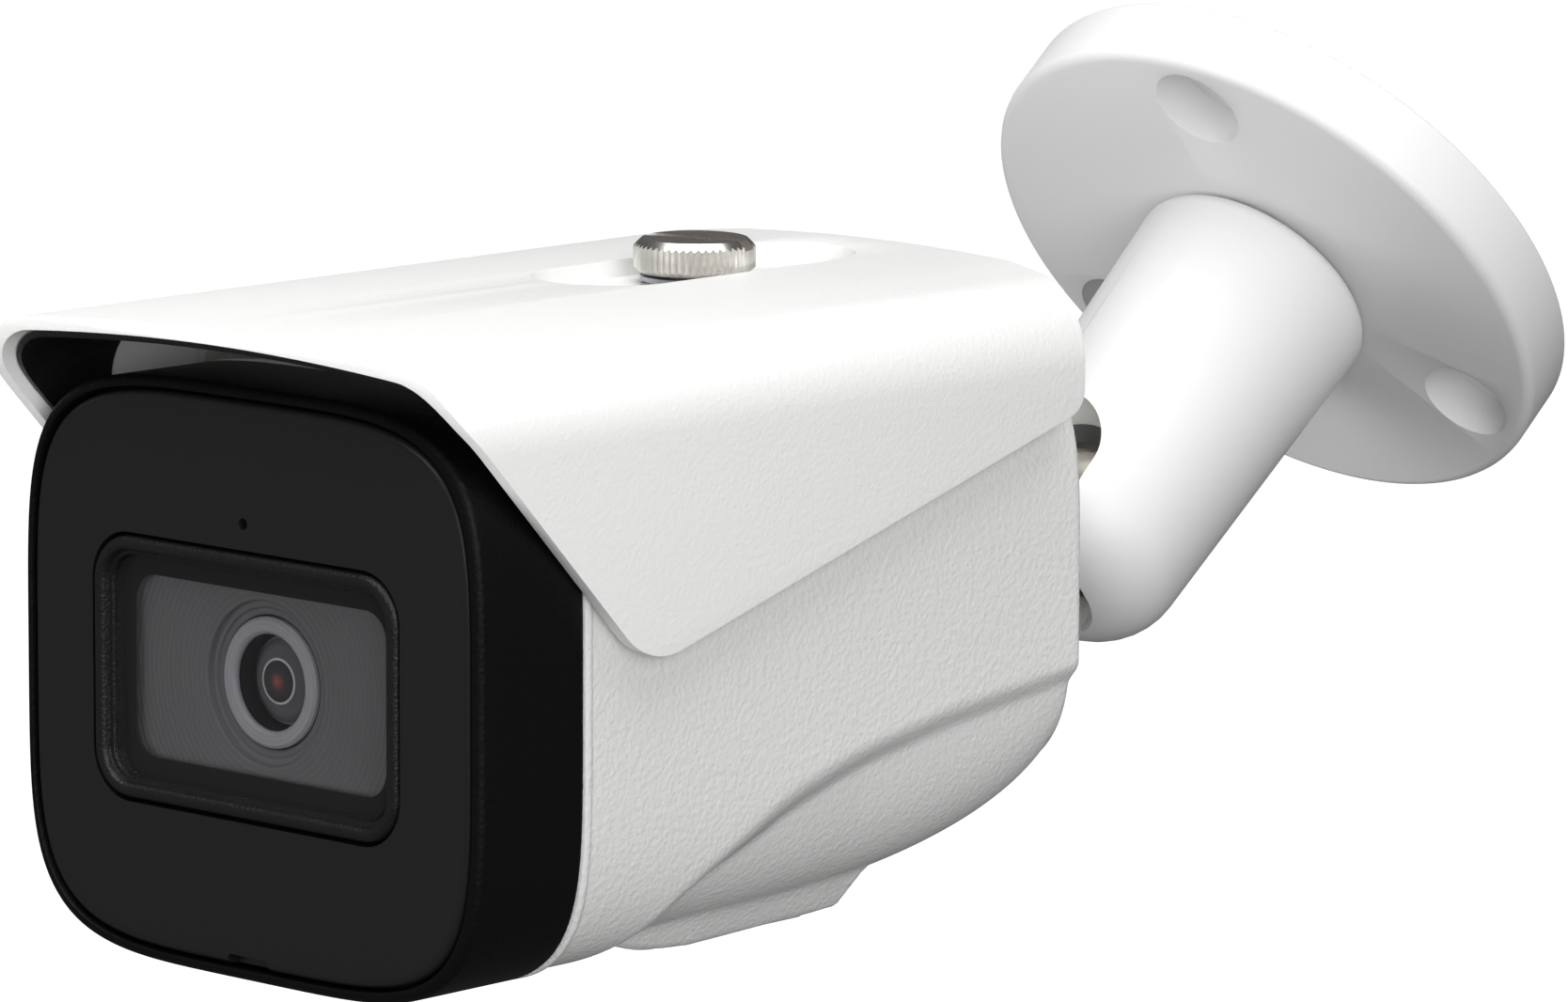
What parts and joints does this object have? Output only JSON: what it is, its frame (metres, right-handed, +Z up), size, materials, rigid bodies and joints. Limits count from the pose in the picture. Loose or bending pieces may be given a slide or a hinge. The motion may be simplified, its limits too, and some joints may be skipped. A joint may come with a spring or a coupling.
{
  "type": "security camera",
  "caption": "Bullet-style outdoor security camera under a sliding sunshade, on an arm that swivels, tilts and rolls from a round wall plate.",
  "frame": {"origin": "centre of the wall plate's back face, where the bracket meets the wall", "axes": "+Z up with the camera level, the lens looks along -Y, +X is the camera's own left; the arm leaves the wall along (0, -0.769, -0.639)"},
  "size_m": [0.07, 0.1946, 0.0902],
  "materials": {
    "white_paint": "fine-textured powder coat",
    "white_bracket": "smooth satin powder coat",
    "black_paint": "fine-textured powder coat",
    "panel": "satin moulded polycarbonate",
    "black_plastic": "textured moulding",
    "clear_glass": "polished, faintly smoked",
    "lens_glass": "polished and coated",
    "dark_mask": "matt print film",
    "baffle": "matt moulding",
    "lens_grey": "satin",
    "nickel": "satin nickel plate",
    "steel": "zinc plate",
    "rubber": "matt",
    "board_green": "solder mask",
    "chip": "moulded epoxy",
    "aluminium": "satin",
    "thermal_pad": "soft pad",
    "white_plastic": "moulded nylon",
    "brass": "turned",
    "led_lens": "clear epoxy"
  },
  "bodies": {
    "wall_plate": {"wall_plate": "white_bracket", "wave_washer": "steel"},
    "arm": {"arm": "white_bracket", "arm_retaining_ring": "steel", "tilt_screw": "nickel"},
    "knuckle": {"knuckle": "nickel", "neck_nut": "brass"},
    "camera": {"housing": "white_paint", "neck_seal": "rubber", "card_cover": "white_paint", "card_cover_screw_1": "steel", "card_cover_screw_2": "steel", "front_cover": "black_paint", "front_panel": "panel", "window_bezel": "black_plastic", "window_glass": "clear_glass", "shade_screw_insert": "brass", "front_gasket": "rubber", "window_mask": "dark_mask", "lens_baffle": "baffle", "lens_ring": "lens_grey", "lens_barrel": "black_plastic", "lens_front_element": "lens_glass", "lens_holder": "black_plastic", "ir_cut_filter": "lens_glass", "image_sensor": "chip", "sensor_board": "board_green", "main_board": "board_green", "board_standoff_1": "brass", "board_standoff_2": "brass", "board_standoff_3": "brass", "board_standoff_4": "brass", "led_board": "board_green", "ir_led_1": "led_lens", "ir_led_2": "led_lens", "ir_led_3": "led_lens", "ir_led_4": "led_lens", "microphone": "aluminium", "heat_spreader": "aluminium", "heat_pad": "thermal_pad", "cable_header": "white_plastic", "cover_screw_1": "steel", "cover_screw_2": "steel", "cover_screw_3": "steel", "cover_screw_4": "steel"},
    "shade": {"sunshade": "white_paint", "glare_liner": "black_plastic", "shade_rib": "white_plastic"},
    "thumbscrew": {"shade_screw": "nickel", "shade_washer": "steel"}
  },
  "joints": [
    {"name": "arm_swivel", "type": "hinge", "parent": "wall_plate", "child": "arm", "pos_m": [0, 0, 0], "axis": [0, -0.7688, -0.6394], "continuous": true},
    {"name": "tilt", "type": "hinge", "parent": "arm", "child": "knuckle", "pos_m": [0, -0.0359, -0.02986], "axis": [1, 0, 0], "range_deg": [-50, 39.5]},
    {"name": "body_roll", "type": "hinge", "parent": "knuckle", "child": "camera", "pos_m": [0, -0.0657, -0.02986], "axis": [0, -1, 0], "continuous": true},
    {"name": "shade_slide", "type": "slide", "parent": "camera", "child": "shade", "axis": [0, 1, 0], "range_m": [-0.012, 0.012]},
    {"name": "thumbscrew_turn", "type": "hinge", "parent": "camera", "child": "thumbscrew", "pos_m": [0, -0.1007, 0.00484], "axis": [0, 0, 1], "continuous": true}
  ]
}
